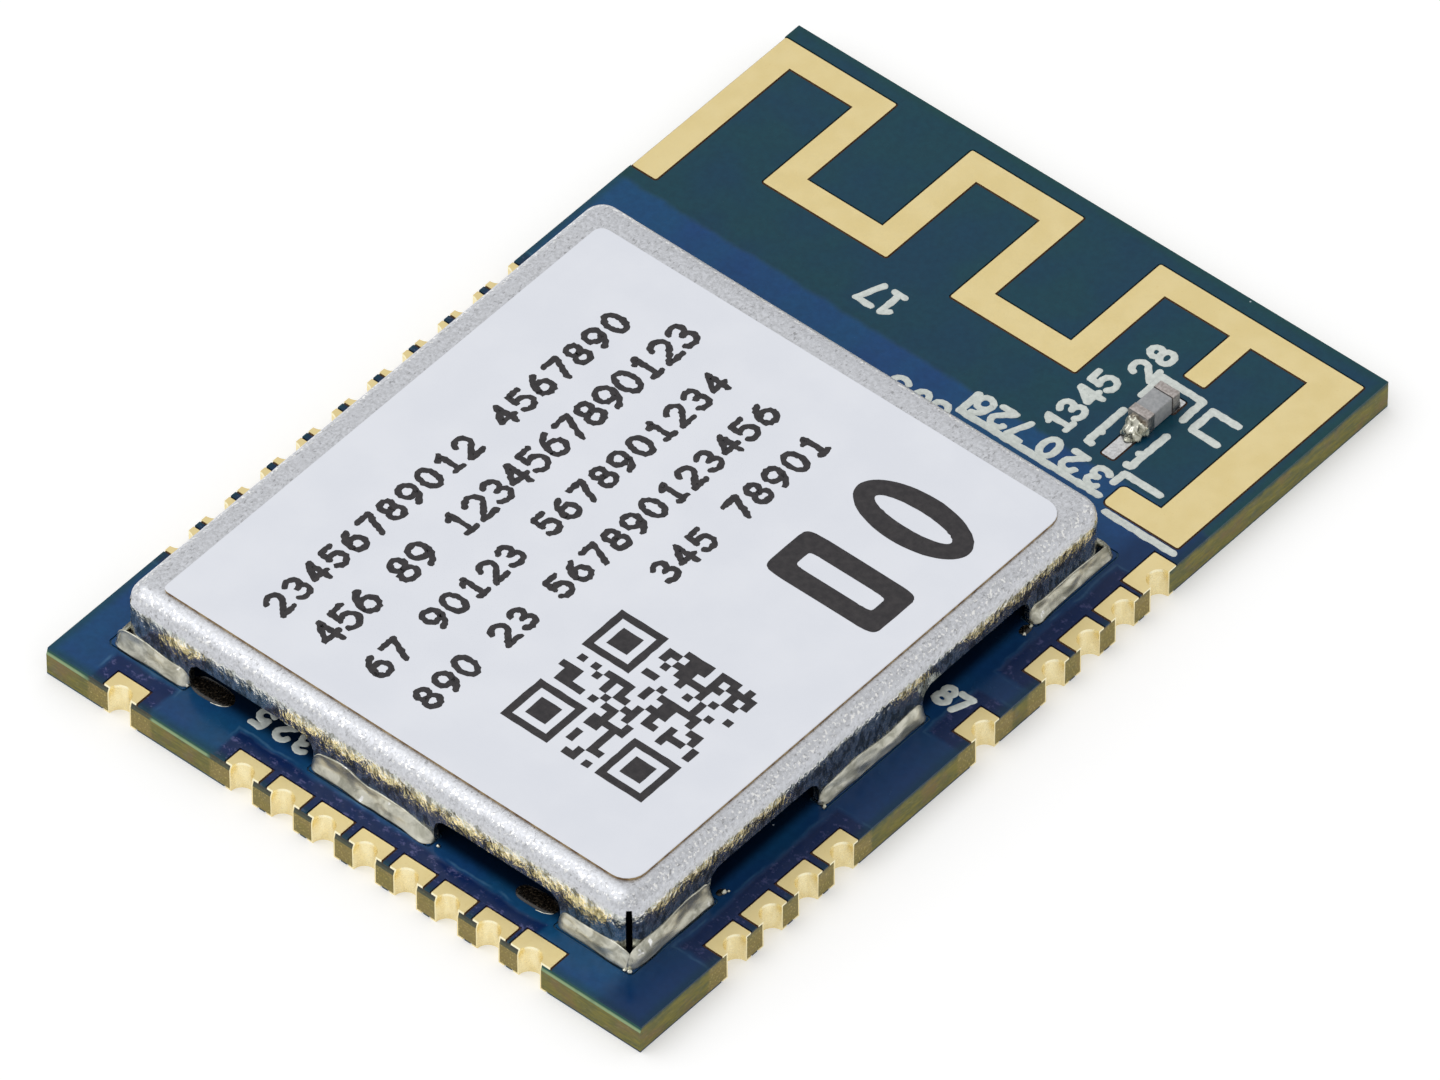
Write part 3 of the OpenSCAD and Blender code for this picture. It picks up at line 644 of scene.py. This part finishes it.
def make_label():
    bm = bmesh.new()
    top = label_high.z - INK_HEIGHT
    loops = []
    for z, inset in ((label_low.z, 0.0), (top - 0.012 * MM, 0.0), (top, 0.012 * MM)):
        loop = []
        for quarter, corner in enumerate(LABEL_CORNERS):
            cx = label_high.x - corner if quarter in (0, 3) else label_low.x + corner
            cy = label_high.y - corner if quarter in (0, 1) else label_low.y + corner
            radius = corner - inset
            for u, v in arc((cx, cy), (radius, radius), 90 * quarter, 90 * quarter + 90, 6):
                loop.append(bm.verts.new((u, v, z)))
        loops.append(loop)
    for one, other in zip(loops, loops[1:]):
        bridge(bm, one, other)
    bm.faces.new(loops[-1])
    bm.faces.new(reversed(loops[0]))
    piece = add_piece("label_sheet", bm, PAINTS["label_paper"], smooth=False)
    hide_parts("label")
    return top


def make_print(top):
    bm = bmesh.new()
    ink = dict(base=top, thickness=INK_HEIGHT, step=0.05 * MM, rag=0.55, rings=(1.0, 0.85), steps=4)
    for x, y0, y1, height, digit, blanks in PRINT_ROWS:
        count = int(round((y1 - y0) * MM / CHARACTER_STEP))
        for i in range(count):
            digit += 1
            if i in blanks:
                continue
            corner = ((x + height / 2) * MM, y0 * MM + i * CHARACTER_STEP)
            add_digit(bm, str(digit % 10), corner, height * MM - PRINT_TRIM, 90, PRINT_PEN, **ink)
    add_piece("label_digits", bm, INK, smooth=False)


def code_cell_is_dark(i, j):
    """Three corner squares, and a scatter of cells that holds no message."""
    last = CODE_CELLS - CODE_MARK
    for a, b in ((0, 0), (last, 0), (0, last)):
        u, v = i - a, j - b
        if -1 <= u <= CODE_MARK and -1 <= v <= CODE_MARK:
            edge = max(abs(u - 3), abs(v - 3))
            return edge == 3 or edge <= 1
    return random.Random(i * 31 + j * 7919 + 5).random() < 0.47


def make_code(top):
    bm = bmesh.new()
    z = top + 0.6 * INK_HEIGHT
    corners = {}

    def corner(i, j):
        if (i, j) not in corners:
            spot = CODE_LOW + Vector((i, j)) * CODE_CELL
            shake = noise.noise_vector(Vector((i * 1.7, j * 1.3, 4.0))) * EDGE_SHAKE
            corners[i, j] = bm.verts.new((spot.x + shake.x, spot.y + shake.y, z))
        return corners[i, j]

    for i in range(CODE_CELLS):
        for j in range(CODE_CELLS):
            if code_cell_is_dark(i, j):
                bm.faces.new((corner(i, j), corner(i + 1, j), corner(i + 1, j + 1), corner(i, j + 1)))
    add_piece("label_code", bm, INK, smooth=False)


def make_plain_marks(top):
    """A plain oval ring and a plain frame, where the real label has its approval marks."""
    bm = bmesh.new()
    z = top + 0.6 * INK_HEIGHT
    for low, high, power in PLAIN_MARKS:
        low, high = Vector(low) * MM, Vector(high) * MM
        middle, half = (low + high) / 2, (high - low) / 2
        loops = []
        for inset in (0.0, MARK_BAND):
            loop = []
            for k in range(MARK_POINTS):
                spot = middle + squarish(half - Vector((inset, inset)), 2 * math.pi * k / MARK_POINTS, power)
                shake = EDGE_SHAKE * noise.noise(Vector((k * 0.9, inset * 1e5, power)))
                loop.append(bm.verts.new((spot.x + shake, spot.y + shake, z)))
            loops.append(loop)
        bridge(bm, *loops)
    add_piece("label_marks", bm, INK, smooth=False)


# ---- silkscreen ----

SILK_LINE = 0.085 * MM
SILK_PEN = 0.075 * MM
SILK_RISE = 0.018 * MM
SILK_STYLE = {"step": 0.09 * MM, "rag": 0.25}

SILK_LINES = (
    # bracket behind the feed chip, and the bars beside it
    ((4.02, 7.54), (4.02, 8.16), (5.02, 8.16), (5.03, 7.54)),
    ((4.01, 7.02), (4.01, 5.97), (4.10, 5.95)),
    ((5.07, 7.02), (5.06, 5.97), (4.96, 5.96)),
    ((4.01, 6.35), (4.06, 6.30)),
    ((5.06, 6.38), (4.97, 6.33)),
    # outlines of the parts left off
    ((5.94, 8.09), (5.32, 8.09), (5.32, 7.46), (5.94, 7.46)),
    ((5.96, 5.75), (5.09, 5.75), (5.08, 5.45)),
    ((5.45, 4.75), (7.11, 4.75)),
    ((1.66, 5.55), (1.66, 5.00), (5.08, 5.00)),
)

# plain digits: digit, lower left corner, height, turn
SILK_DIGITS = (
    ("1", (-0.96, 6.58), 0.58, 180), ("7", (-1.40, 6.58), 0.58, 180),
    ("2", (3.90, 7.90), 0.52, 90), ("8", (3.90, 8.42), 0.52, 90),
    ("1", (3.52, 5.82), 0.52, 90), ("3", (3.52, 6.22), 0.52, 90),
    ("4", (3.52, 6.72), 0.52, 90), ("5", (3.52, 7.20), 0.52, 90),
    ("6", (2.08, 5.60), 0.50, 180), ("2", (2.56, 5.60), 0.50, 180), ("7", (3.04, 5.60), 0.50, 180),
    ("0", (3.74, 5.60), 0.50, 180), ("2", (4.32, 5.60), 0.50, 180), ("3", (4.92, 5.60), 0.50, 180),
    ("5", (-2.93, -9.30), 0.44, 180), ("2", (-2.38, -9.30), 0.44, 180), ("3", (-1.90, -9.30), 0.44, 180),
    ("8", (6.06, -1.03), 0.44, 0), ("7", (6.42, -1.03), 0.44, 0),
    ("3", (0.50, 4.95), 0.50, 180), ("0", (1.05, 4.95), 0.50, 180), ("8", (1.50, 4.95), 0.50, 180),
)


def make_silkscreen():
    lines = bmesh.new()
    for path in SILK_LINES:
        points = [Vector(point) * MM for point in path]
        add_path(lines, points, SILK_LINE, mask_top, SILK_RISE, **SILK_STYLE)
    add_piece("silkscreen_lines", lines, SILKSCREEN)
    digits = bmesh.new()
    for digit, corner, height, turn in SILK_DIGITS:
        add_digit(digits, digit, Vector(corner) * MM, height * MM, turn, SILK_PEN, mask_top,
                  SILK_RISE, **SILK_STYLE)
    add_piece("silkscreen_digits", digits, SILKSCREEN)


# ---- solder ----

NOTCH_WIDTH = 3.1 * MM
NOTCH_OFFSET = 3.04 * MM

# each wall: a point at its middle on the board, its direction, and the way outwards
can_middle = (can_low + can_high) / 2
WALLS = {
    "front": (Vector((can_middle.x, can_low.y)), Vector((1, 0)), Vector((0, -1)), can_high.x - can_low.x),
    "right": (Vector((can_high.x, can_middle.y)), Vector((0, 1)), Vector((1, 0)), can_high.y - can_low.y),
    "back": (Vector((can_middle.x, can_high.y)), Vector((-1, 0)), Vector((0, 1)), can_high.x - can_low.x),
    "left": (Vector((can_low.x, can_middle.y)), Vector((0, -1)), Vector((-1, 0)), can_high.y - can_low.y),
}

# lumps on the solder of each wall: place along it, half width, more reach, more climb, in mm
SOLDER_LUMPS = {
    "front": ((-5.9, 0.5, 0.03, 0.10), (-4.9, 0.4, 0.02, 0.02), (-0.9, 0.45, 0.01, 0.12),
              (-0.2, 0.25, 0.03, -0.04), (0.5, 0.5, 0.04, 0.06), (1.3, 0.35, 0.06, -0.10),
              (5.9, 0.35, 0.03, 0.06)),
    "right": ((-5.2, 0.5, 0.02, 0.16), (-4.5, 0.3, 0.05, 0.12), (-6.5, 0.3, 0.03, 0.05),
              (4.6, 0.3, 0.06, 0.05), (1.3, 0.2, 0.02, 0.0)),
    "back": ((4.0, 0.6, 0.02, 0.06), (-4.6, 0.5, 0.03, 0.08)),
    "left": ((0.4, 0.6, 0.02, 0.08), (-5.0, 0.5, 0.03, 0.06), (5.4, 0.4, 0.02, 0.05)),
}
SOLDER_REACH = 0.15 * MM
SOLDER_CLIMB = 0.34 * MM
SOLDER_FADE = 0.22 * MM
SOLDER_STEP = 0.05 * MM
SOLDER_ROUNDS = 12


def tab_spans(length):
    inner, outer = NOTCH_OFFSET - NOTCH_WIDTH / 2, NOTCH_OFFSET + NOTCH_WIDTH / 2
    return ((-length / 2, -outer), (-inner, inner), (outer, length / 2))


def make_wall_solder(side):
    middle, along, out, length = WALLS[side]
    bm = bmesh.new()
    for low, high in tab_spans(length):
        corner_low = low < -length / 2 + SOLDER_STEP
        corner_high = high > length / 2 - SOLDER_STEP
        low -= SOLDER_REACH * 0.8 if corner_low else 0.03 * MM
        high += SOLDER_REACH * 0.8 if corner_high else 0.03 * MM
        count = int((high - low) / SOLDER_STEP)
        loops = []
        for i in range(count + 1):
            s = low + (high - low) * i / count
            end = min(s - low, high - s) / SOLDER_FADE
            fade = math.sqrt(max(0.03, 1 - max(0.0, 1 - end) ** 2))
            reach, climb = SOLDER_REACH, SOLDER_CLIMB
            for place, width, more_reach, more_climb in SOLDER_LUMPS[side]:
                bell = math.exp(-(((s / MM - place) / width) ** 2))
                reach += more_reach * MM * bell
                climb += more_climb * MM * bell
            seed = Vector((s / MM * 1.1, length / MM, len(side)))
            climb *= 1 + 0.22 * noise.noise(seed)
            reach *= 1 + 0.12 * noise.noise(seed * 1.7 + Vector((9, 0, 0)))
            # a sloping face, hollow or swollen by turns
            swell = 0.10 * noise.noise(seed * 0.9 + Vector((0, 5, 0))) - 0.03
            loop = []
            for k in range(SOLDER_ROUNDS + 1):
                t = k / SOLDER_ROUNDS
                bulge = math.sin(math.pi * t) * swell + 0.03 * noise.noise(Vector((s / MM * 3, t * 3, 1.0)))
                u = fade * (reach * (1 - t) + climb * bulge)
                h = fade * (climb * t + reach * bulge)
                spot = middle + along * s + out * max(u, 0.004 * MM)
                loop.append(bm.verts.new((spot.x, spot.y, mask_top + max(h, 0.0))))
            foot = middle + along * s - out * 0.02 * MM
            loop.append(bm.verts.new((foot.x, foot.y, mask_top)))
            loops.append(loop)
        for one, other in zip(loops, loops[1:]):
            bridge(bm, one, other)
        bm.faces.new(loops[0])
        bm.faces.new(reversed(loops[-1]))
    piece = add_piece(f"solder_{side}", bm, PAINTS["solder"])
    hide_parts(f"shield_solder_{side}")


def add_heap(bm, drops, step=0.012 * MM):
    """Solder drops run together over the board, each as middle, radius and height, in metres."""
    low = Vector((min(d[0] - d[2] for d in drops), min(d[1] - d[2] for d in drops)))
    high = Vector((max(d[0] + d[2] for d in drops), max(d[1] + d[2] for d in drops)))
    columns, rows = int((high.x - low.x) / step) + 1, int((high.y - low.y) / step) + 1
    grid = {}
    for i in range(columns + 1):
        for j in range(rows + 1):
            x, y = low.x + i * step, low.y + j * step
            total = 0.0
            for middle_x, middle_y, radius, height in drops:
                away = ((x - middle_x) ** 2 + (y - middle_y) ** 2) / radius ** 2
                if away < 1:
                    total += (height * math.sqrt(1 - away)) ** 3
            if total > 0:
                rise = total ** (1 / 3)
                rise *= 1 + 0.2 * noise.noise(Vector((x, y, 0)) / (0.09 * MM))
                grid[i, j] = bm.verts.new((x, y, mask_top + rise))
    for i, j in list(grid):
        corners = [(i, j), (i + 1, j), (i + 1, j + 1), (i, j + 1)]
        if all(corner in grid for corner in corners):
            bm.faces.new([grid[corner] for corner in corners])


def make_feed_solder():
    """The lumps that wick up both ends of the feed chip."""
    bm = bmesh.new()
    x, front, back = (chip_low.x + chip_high.x) / 2, chip_low.y, chip_high.y
    drops = (
        (-0.09, front, -0.01, 0.19, 0.36), (0.12, front, -0.02, 0.17, 0.31),
        (-0.04, front, -0.17, 0.17, 0.24), (0.12, front, -0.21, 0.13, 0.16),
        (-0.14, front, -0.23, 0.09, 0.10), (0.02, front, -0.33, 0.08, 0.06),
    )
    add_heap(bm, [(x + u * MM, y + v * MM, r * MM, h * MM) for u, y, v, r, h in drops])
    add_heap(bm, [(x - 0.05 * MM, back, 0.16 * MM, 0.22 * MM), (x + 0.12 * MM, back, 0.12 * MM, 0.16 * MM)])
    piece = add_piece("feed_solder", bm, BRIGHT_SOLDER)
    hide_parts("feed_chip_solder")


# pools of flux beside the can's tabs: middle and half sizes, in mm
FLUX_POOLS = (
    ((-4.26, -9.64), (0.50, 0.24)),
    ((3.80, -9.66), (0.48, 0.22)),
    ((6.27, 1.44), (0.10, 0.14)),
    ((6.27, -7.33), (0.07, 0.09)),
)
# stray solder drops: middle, radius and height, in mm
STRAY_DROPS = (
    (-4.72, -9.83, 0.07, 0.07), (6.33, 1.32, 0.05, 0.06), (6.30, 1.55, 0.06, 0.09), (6.33, -7.30, 0.07, 0.10),
    (6.37, -7.22, 0.04, 0.05), (6.30, -9.93, 0.06, 0.07), (6.20, -9.95, 0.05, 0.05),
    (6.34, -4.46, 0.06, 0.09), (1.55, -9.86, 0.05, 0.06),
)
FLUX_POWER = 2.5
FLUX_POINTS = 32


def make_flux():
    """Dark pools of flux with a thin bright rim on their open side, and stray drops of solder."""
    pools, bright = bmesh.new(), bmesh.new()
    for middle, half in FLUX_POOLS:
        middle, half = Vector(middle) * MM, Vector(half) * MM
        loops = []
        for level, rise in ((1.0, 0.0), (0.93, 0.018), (0.7, 0.03), (0.3, 0.034)):
            loop = []
            for k in range(FLUX_POINTS):
                a = 2 * math.pi * k / FLUX_POINTS
                seed = Vector((math.cos(a) * 1.6, math.sin(a) * 1.6, middle.x / MM))
                spot = middle + level * (1 + 0.10 * noise.noise(seed)) * squarish(half, a, FLUX_POWER)
                loop.append(pools.verts.new((spot.x, spot.y, mask_top + rise * MM)))
            loops.append(loop)
        for one, other in zip(loops, loops[1:]):
            bridge(pools, one, other)
        pools.faces.new(loops[-1])
        if half.x > 0.2 * MM:
            turns = [math.radians(-75 + 62 * k / 8) for k in range(9)]
            rim = [middle + squarish(half, turn, FLUX_POWER) for turn in turns]
            add_stroke(bright, rim, 0.011 * MM, mask_top, 0.018 * MM, 0, rag=0.7)
    for x, y, radius, height in STRAY_DROPS:
        add_heap(bright, [(x * MM, y * MM, radius * MM, height * MM)])
    add_piece("flux_pools", pools, FLUX)
    add_piece("stray_solder", bright, BRIGHT_SOLDER)


# ---- shield can ----

FOLD = 0.4 * MM
SHEET = 0.15 * MM
CAN_CORNER = 0.46 * MM
SLIT_HALF = 0.062 * MM
NOTCH_HEIGHT = 0.65 * MM
NOTCH_CORNER = 0.3 * MM


def notch_edge(place):
    """Height of a notch's upper edge at that distance from the notch's middle."""
    inward = max(0.0, abs(place) - (NOTCH_WIDTH / 2 - NOTCH_CORNER))
    return NOTCH_HEIGHT - NOTCH_CORNER + math.sqrt(max(0.0, NOTCH_CORNER ** 2 - inward ** 2))


def can_columns():
    """Upright lines round the can: place, way outwards, and the kind of stretch that follows each."""
    width, length = can_high.x - can_low.x, can_high.y - can_low.y
    columns = []
    for quarter, (span, depth) in enumerate(((length, width), (width, length)) * 2):
        out = Vector((math.cos(quarter * math.pi / 2), math.sin(quarter * math.pi / 2)))
        along = Vector((-out.y, out.x))
        marks = [(-span / 2 + CAN_CORNER, "tab", 0.0)]
        for middle in (-NOTCH_OFFSET, NOTCH_OFFSET):
            for k in range(13):
                share = -math.cos(math.pi * k / 12)
                marks.append((middle + share * NOTCH_WIDTH / 2, "notch" if k < 12 else "tab",
                              notch_edge(share * NOTCH_WIDTH / 2)))
        for place, kind, edge in marks:
            columns.append((can_middle.xy + out * depth / 2 + along * place, out, kind, edge))
        centre = can_middle.xy + out * (depth / 2 - CAN_CORNER) + along * (span / 2 - CAN_CORNER)
        slit = math.asin(SLIT_HALF / CAN_CORNER)
        turns = [math.pi / 4 * k / 4 for k in range(4)] + [math.pi / 4 - slit, math.pi / 4 + slit]
        turns += [math.pi / 4 * (1 + k / 4) for k in range(1, 4)]
        for turn in turns:
            way = out * math.cos(turn) + along * math.sin(turn)
            kind = "slit" if abs(turn - (math.pi / 4 - slit)) < 1e-9 else "tab"
            columns.append((centre + way * CAN_CORNER, way, kind, 0.0))
    return columns


def make_can():
    """The folded can, its folds carried round the corners, with a slit below each of them."""
    bm = bmesh.new()
    base, height = can_low.z, can_high.z - can_low.z
    folds = [math.radians(a) for a in (0, 22, 36, 50, 64, 78, 90)]
    low_row, wall_row = NOTCH_HEIGHT - NOTCH_CORNER, NOTCH_HEIGHT + 0.1 * MM
    columns = can_columns()
    spots = {}

    def spot(i, inset, z):
        key = (i % len(columns), round(inset * 1e8), round(z * 1e8))
        if key not in spots:
            place, out = columns[key[0]][:2]
            point = place - out * inset
            spots[key] = bm.verts.new((point.x, point.y, base + z))
        return spots[key]

    for i, (_, _, kind, edge) in enumerate(columns):
        after = columns[(i + 1) % len(columns)]
        lower = {"tab": [(0, 0), (low_row, low_row)], "notch": [(edge, after[3])], "slit": []}[kind]
        rows = [((0, a), (0, b)) for a, b in lower + ([(wall_row, wall_row)] if lower else [])]
        for a in folds[1 if kind == "slit" else 0:]:
            row = (FOLD * (1 - math.cos(a)), height - FOLD + FOLD * math.sin(a))
            rows.append((row, row))
        rows.append(((FOLD + 0.03 * MM, height),) * 2)
        for (a, b), (c, d) in zip(rows, rows[1:]):
            corners = []
            for vert in (spot(i, *a), spot(i + 1, *b), spot(i + 1, *d), spot(i, *c)):
                if vert not in corners:
                    corners.append(vert)
            if len(corners) > 2:
                bm.faces.new(corners)
    bm.faces.new([spot(i, FOLD + 0.03 * MM, height) for i in range(len(columns))])
    bmesh.ops.recalc_face_normals(bm, faces=bm.faces)
    bmesh.ops.solidify(bm, geom=bm.faces[:], thickness=SHEET)
    piece = add_piece("can", bm, PAINTS["shield_sheet"])
    piece.data.set_sharp_from_angle(angle=math.radians(35))
    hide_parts("shield_cover")


def round_feed_chip():
    """Soft edges on the feed chip and its end caps."""
    for name, width in (("feed_chip", 0.03 * MM), ("feed_chip_ends", 0.07 * MM)):
        weld = nodes[name].modifiers.new("joined", "WELD")
        weld.merge_threshold = 1e-6
        edge = nodes[name].modifiers.new("soft_edges", "BEVEL")
        edge.width = width
        edge.segments = 3
        edge.limit_method = "ANGLE"
        edge.angle_limit = math.radians(40)
        for face in nodes[name].data.polygons:
            face.use_smooth = True
        nodes[name].data.set_sharp_from_angle(angle=math.radians(50))


# ---- floor and light ----

WORLD_LIGHT = 0.745
KEY_POWER = 0.82
KEY_PLACE = Vector((-0.24, -0.16, 0.41))
KEY_SIZE = 0.60
FLOOR_RADIUS = 3.0
# share of white that the floor adds in the camera's and reflections' view
SEEN_FLOOR = 0.28


def make_floor():
    bm = bmesh.new()
    bmesh.ops.create_circle(bm, cap_ends=True, radius=FLOOR_RADIUS, segments=96)
    mesh = bpy.data.meshes.new("floor")
    bm.to_mesh(mesh)
    bm.free()
    floor = bpy.data.objects.new("floor", mesh)
    bpy.context.scene.collection.objects.link(floor)
    p = Paint("floor", Roughness=0.9)
    p.drive("Base Color", p.mix(p.ramp(p.grain(0.05), 0.3, 0.7), (0.80, 0.80, 0.80), (0.81, 0.81, 0.81)))
    p.drive("Specular IOR Level", 0.0)
    path = p.add("ShaderNodeLightPath").outputs
    seen = p.calc("MAXIMUM", path["Is Camera Ray"],
                  p.calc("MAXIMUM", path["Is Glossy Ray"], path["Is Transmission Ray"]))
    p.shader.inputs["Emission Color"].default_value = (1, 1, 1, 1)
    p.drive("Emission Strength", p.calc("MULTIPLY", seen, SEEN_FLOOR))
    mesh.materials.append(p.material)


def make_light():
    world = bpy.data.worlds.new("studio")
    bpy.context.scene.world = world
    world.use_nodes = True
    tree = world.node_tree
    background = tree.nodes["Background"]
    path = tree.nodes.new("ShaderNodeLightPath")
    mix = tree.nodes.new("ShaderNodeMapRange")
    tree.links.new(path.outputs["Is Camera Ray"], mix.inputs["Value"])
    mix.inputs["To Min"].default_value = WORLD_LIGHT
    mix.inputs["To Max"].default_value = 1.0
    tree.links.new(mix.outputs["Result"], background.inputs["Strength"])
    background.inputs["Color"].default_value = (1, 1, 1, 1)

    light = bpy.data.lights.new("key", "AREA")
    light.shape = "DISK"
    light.size = KEY_SIZE
    light.energy = KEY_POWER
    lamp = bpy.data.objects.new("key", light)
    bpy.context.scene.collection.objects.link(lamp)
    lamp.location = KEY_PLACE
    lamp.rotation_euler = (-KEY_PLACE).to_track_quat("-Z", "Y").to_euler()
    bpy.context.scene.view_settings.view_transform = "Standard"


make_camera()
dress_cad_nodes()
face = make_label()
make_print(face)
make_code(face)
make_plain_marks(face)
make_silkscreen()
for wall in WALLS:
    make_wall_solder(wall)
make_feed_solder()
make_flux()
make_can()
round_feed_chip()
make_floor()
make_light()
